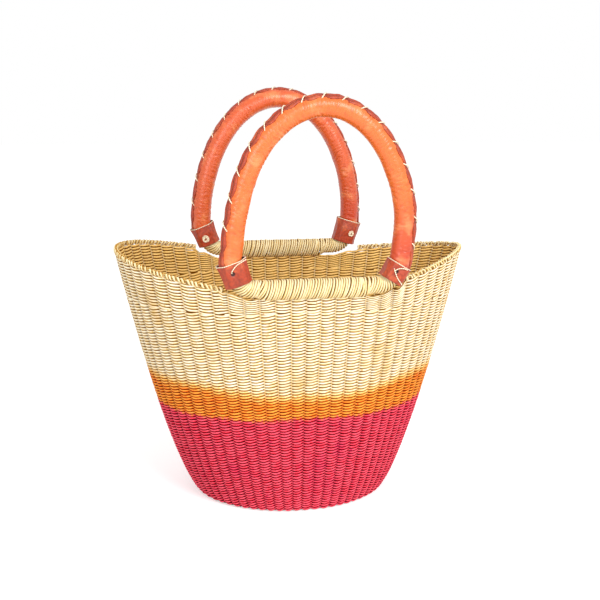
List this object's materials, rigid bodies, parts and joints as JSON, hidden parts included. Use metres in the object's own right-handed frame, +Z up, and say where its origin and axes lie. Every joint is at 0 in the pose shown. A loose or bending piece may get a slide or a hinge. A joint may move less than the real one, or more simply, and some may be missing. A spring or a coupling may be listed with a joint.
{
  "type": "basket",
  "caption": "Tall twined straw basket with pointed oval mouth, dyed lower bands and leather-sleeved ring handles that tilt on the rim.",
  "frame": {"origin": "on the floor, in the middle of the flat base between the two handles", "axes": "+Z up, +X along the mouth to the right end, -Y towards the front handle"},
  "size_m": [0.3976, 0.2426, 0.4595],
  "materials": {
    "natural_straw": "dry twisted grass, light straw colour, satin",
    "orange_straw": "dyed twisted grass, satin",
    "red_straw": "dyed twisted grass, satin",
    "grass_core": "bundled dry grass",
    "sleeve_leather": "smooth orange goat leather, fine creases, glossy",
    "trim_leather": "red-brown goat leather, satin",
    "thread": "waxed cream thread"
  },
  "bodies": {
    "basket": {"base_disc": "red_straw", "wall_red": "red_straw", "wall_orange": "orange_straw", "wall_natural": "natural_straw", "rim_braid_left": "natural_straw", "rim_braid_right": "natural_straw", "front_bar_binding": "natural_straw", "back_bar_binding": "natural_straw"},
    "front_handle": {"front_handle_core": "grass_core", "front_leather_sleeve": "sleeve_leather", "front_seam_welt": "trim_leather", "front_seam_lacing": "thread", "front_end_wrap_left": "natural_straw", "front_cuff_left": "trim_leather", "front_cuff_thread_left": "thread", "front_cuff_knot_left": "thread", "front_end_wrap_right": "natural_straw", "front_cuff_right": "trim_leather", "front_cuff_thread_right": "thread", "front_cuff_knot_right": "thread"},
    "back_handle": {"back_handle_core": "grass_core", "back_leather_sleeve": "sleeve_leather", "back_seam_welt": "trim_leather", "back_seam_lacing": "thread", "back_end_wrap_left": "natural_straw", "back_cuff_left": "trim_leather", "back_cuff_thread_left": "thread", "back_cuff_knot_left": "thread", "back_end_wrap_right": "natural_straw", "back_cuff_right": "trim_leather", "back_cuff_thread_right": "thread", "back_cuff_knot_right": "thread"}
  },
  "joints": [
    {"name": "front_handle_swing", "type": "hinge", "parent": "basket", "child": "front_handle", "pos_m": [0, -0.1075, 0.261], "axis": [-1, 0, 0], "range_deg": [-30, 30]},
    {"name": "back_handle_swing", "type": "hinge", "parent": "basket", "child": "back_handle", "pos_m": [0, 0.1075, 0.261], "axis": [1, 0, 0], "range_deg": [-30, 30]}
  ]
}
